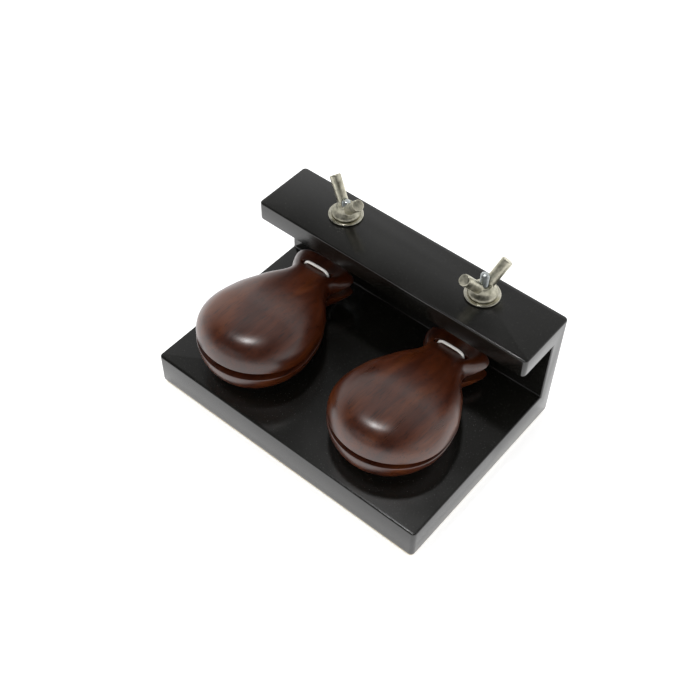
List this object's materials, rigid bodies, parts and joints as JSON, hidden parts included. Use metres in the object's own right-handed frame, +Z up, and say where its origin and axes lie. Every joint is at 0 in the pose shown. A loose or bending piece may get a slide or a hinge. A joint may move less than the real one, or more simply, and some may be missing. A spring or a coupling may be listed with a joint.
{
  "type": "table castanets",
  "caption": "Pairs of hardwood castanets on a black wooden stand, struck with the fingers, each tensioned by an elastic cord, an eye bolt and a wing nut",
  "frame": {"origin": "middle of the non-slip pad's underside, which is also the middle of the stand's footprint", "axes": "+X along the stand to the player's right, +Y from the player to the rear wall, +Z up"},
  "size_m": [0.182, 0.127, 0.0991],
  "materials": {
    "black_lacquer": "black satin lacquer",
    "cream_rubber": "cream foam rubber",
    "rosewood": "dark rosewood, satin",
    "felt": "black felt",
    "beech": "plain beech",
    "zinc_plate": "bright zinc-plated steel",
    "nickel_plate": "nickel-plated steel",
    "white_cord": "white braided elastic"
  },
  "bodies": {
    "stand": {"base_board": "black_lacquer", "rear_wall": "black_lacquer", "top_rail": "black_lacquer", "non_slip_pad": "cream_rubber", "wall_screw_left": "zinc_plate", "wall_screw_middle": "zinc_plate", "wall_screw_right": "zinc_plate", "rail_dowel_left": "beech", "rail_dowel_middle": "beech", "rail_dowel_right": "beech", "lower_shell_left": "rosewood", "lower_shell_right": "rosewood", "shell_spacer_left": "felt", "shell_spacer_right": "felt", "shell_screw_left": "zinc_plate", "shell_screw_right": "zinc_plate", "elastic_cord_left": "white_cord", "elastic_cord_right": "white_cord", "washer_left": "nickel_plate", "washer_right": "nickel_plate"},
    "upper_left": {"upper_shell_left": "rosewood"},
    "upper_right": {"upper_shell_right": "rosewood"},
    "nut_left": {"wing_nut_left": "nickel_plate"},
    "nut_right": {"wing_nut_right": "nickel_plate"},
    "bolt_left": {"eye_bolt_left": "zinc_plate"},
    "bolt_right": {"eye_bolt_right": "zinc_plate"}
  },
  "joints": [
    {"name": "castanet_left", "type": "hinge", "parent": "stand", "child": "upper_left", "pos_m": [-0.04965, 0.01071, 0.04077], "axis": [0.9991, 0.0419, 0], "range_deg": [-12, 3.85], "stiffness_Nm_per_rad": 1.6, "springref_deg": -0.37, "deforming": ["elastic_cord_left"]},
    {"name": "castanet_right", "type": "hinge", "parent": "stand", "child": "upper_right", "pos_m": [0.0433, 0.0134, 0.03929], "axis": [0.9999, 0.0122, 0], "range_deg": [-12, 2.55], "stiffness_Nm_per_rad": 1.6, "springref_deg": -0.37, "deforming": ["elastic_cord_right"]},
    {"name": "wing_nut_left_turn", "type": "hinge", "parent": "stand", "child": "nut_left", "pos_m": [-0.04675, 0.0476, 0.0801], "axis": [0, 0, 1], "range_deg": [-2160, 1080]},
    {"name": "wing_nut_right_turn", "type": "hinge", "parent": "stand", "child": "nut_right", "pos_m": [0.04675, 0.0476, 0.0801], "axis": [0, 0, 1], "range_deg": [-340, 2160]},
    {"name": "eye_bolt_left_draw", "type": "slide", "parent": "stand", "child": "bolt_left", "axis": [0, 0, 1], "range_m": [-0.0024, 0.0048], "deforming": ["elastic_cord_left"]},
    {"name": "eye_bolt_right_draw", "type": "slide", "parent": "stand", "child": "bolt_right", "axis": [0, 0, 1], "range_m": [-0.0048, 0.00076], "deforming": ["elastic_cord_right"]}
  ],
  "couplings": [
    {"joint": "eye_bolt_left_draw", "follows": "wing_nut_left_turn", "m_per_rad": -0.00012732},
    {"joint": "eye_bolt_right_draw", "follows": "wing_nut_right_turn", "m_per_rad": -0.00012732}
  ]
}
